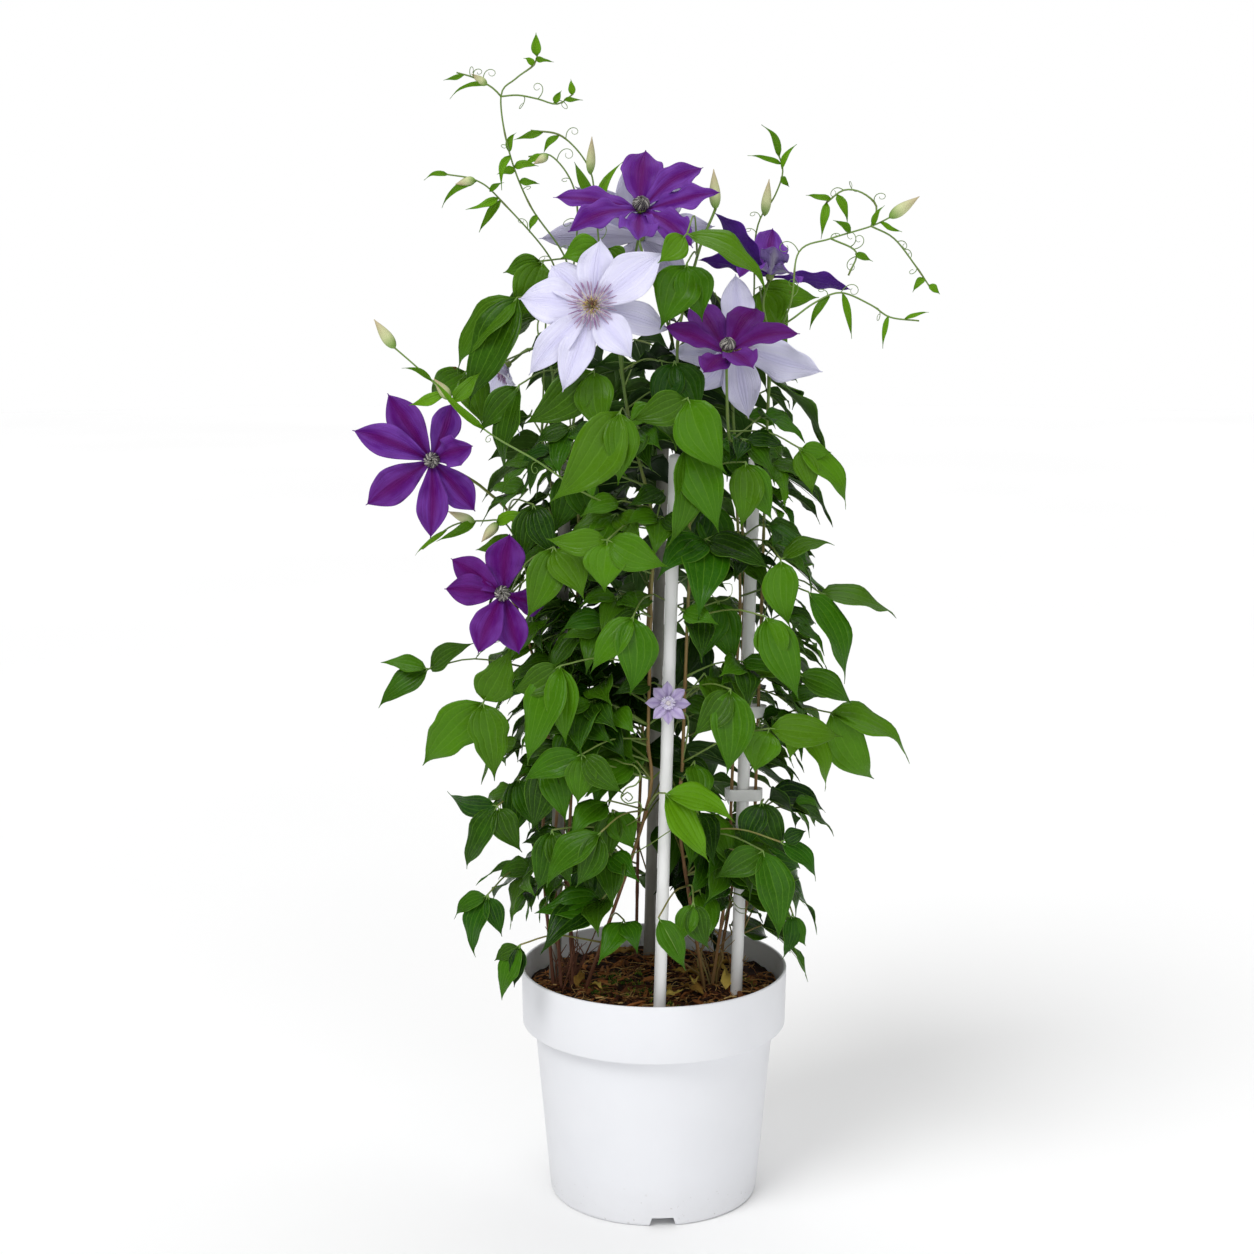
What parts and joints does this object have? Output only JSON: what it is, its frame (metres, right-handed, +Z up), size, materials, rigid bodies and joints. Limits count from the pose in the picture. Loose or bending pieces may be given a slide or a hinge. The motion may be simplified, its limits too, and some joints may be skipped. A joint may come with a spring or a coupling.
{
  "type": "potted clematis on stakes",
  "caption": "Large-flowered clematis with purple, white and lilac blooms climbing white stakes in a plain white nursery pot.",
  "frame": {"origin": "centre of the pot's base, on the surface that the pot rests on", "axes": "+Z up along the pot's axis; -Y towards the side that the picture shows; +X to the right seen from there"},
  "size_m": [0.4738, 0.3098, 0.9886],
  "materials": {
    "pot_plastic": "plain white injection-moulded plastic, satin",
    "soil": "dark red-brown bark and coir mix, matt",
    "stake_plastic": "white plastic, satin",
    "leaf_green": "living green leaf and stem, semi-gloss",
    "purple": "deep purple petal, velvety",
    "white": "lilac-white petal, velvety",
    "lilac": "pale lilac petal, velvety",
    "stamens": "purple-brown and cream stamens, matt"
  },
  "bodies": {
    "root": {"bloom_left": "purple", "bloom_left_stamens": "stamens", "bloom_lilac": "lilac", "bloom_lilac_stamens": "stamens", "bloom_low_left": "purple", "bloom_low_left_stamens": "stamens", "bloom_mid_right": "purple", "bloom_mid_right_stamens": "stamens", "bloom_right": "purple", "bloom_right_stamens": "stamens", "bloom_top": "purple", "bloom_top_stamens": "stamens", "bloom_white_back": "white", "bloom_white_back_stamens": "stamens", "bloom_white_front": "white", "bloom_white_front_stamens": "stamens", "bloom_white_left": "white", "bloom_white_left_stamens": "stamens", "bloom_white_right": "white", "bloom_white_right_stamens": "stamens", "clip_high": "stake_plastic", "clip_low": "stake_plastic", "pot": "pot_plastic", "soil": "soil", "stake_back": "stake_plastic", "stake_front": "stake_plastic", "stake_left": "stake_plastic", "stake_right": "stake_plastic", "vine_back_left": "leaf_green", "vine_back_right": "leaf_green", "vine_front_left": "leaf_green", "vine_front_right": "leaf_green", "vine_left_back": "leaf_green", "vine_left_front": "leaf_green", "vine_left_inner": "leaf_green", "vine_left_outer": "leaf_green", "vine_right_back": "leaf_green", "vine_right_front": "leaf_green", "vine_right_outer": "leaf_green"}
  },
  "joints": []
}
